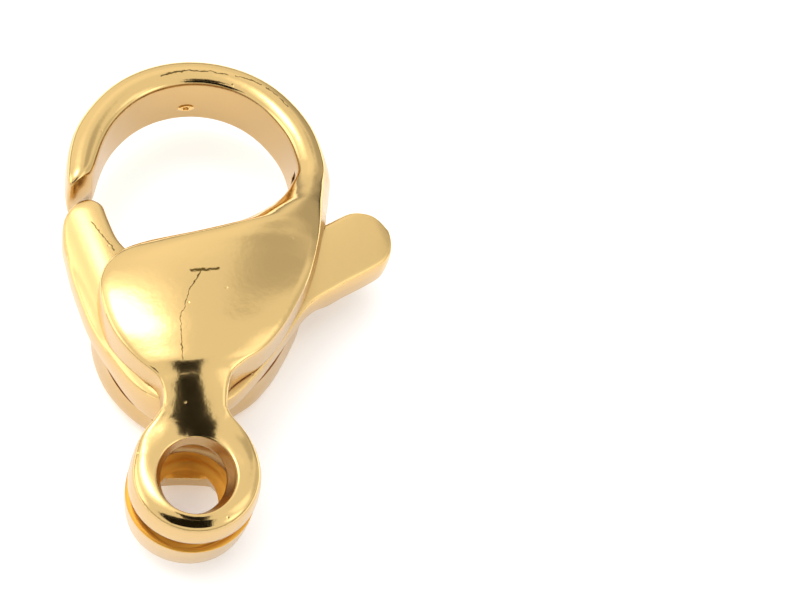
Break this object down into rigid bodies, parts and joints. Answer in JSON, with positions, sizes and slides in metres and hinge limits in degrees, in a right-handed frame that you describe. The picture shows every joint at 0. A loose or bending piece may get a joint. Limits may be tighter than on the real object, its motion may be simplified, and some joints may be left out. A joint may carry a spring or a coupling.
{
  "type": "lobster clasp",
  "caption": "Polished gold-plated lobster clasp with a round hook, a spring-closed lever with a thumb tab and a split end ring for a chain.",
  "frame": {"origin": "middle of the clasp's length and width, on the surface it lies on", "axes": "+Y from the end ring to the hook, +X to the thumb tab, +Z out of the front face; lies on its back"},
  "size_m": [0.0096, 0.0152, 0.0045],
  "materials": {
    "gold_plate": "mirror polished gold plate over cast stainless steel",
    "gold_plate_lever": "mirror polished gold plate over cast stainless steel",
    "steel_pin": "plain drawn wire, hidden inside"
  },
  "bodies": {
    "casting": {"body": "gold_plate", "pivot_pin": "steel_pin"},
    "trigger": {"lever": "gold_plate_lever"}
  },
  "joints": [
    {"name": "lever_hinge", "type": "hinge", "parent": "casting", "child": "trigger", "pos_m": [-0.00138, -0.00144, 0.00225], "axis": [0, 0, -1], "range_deg": [0, 25], "stiffness_Nm_per_rad": 0.012, "springref_deg": -20.05}
  ]
}
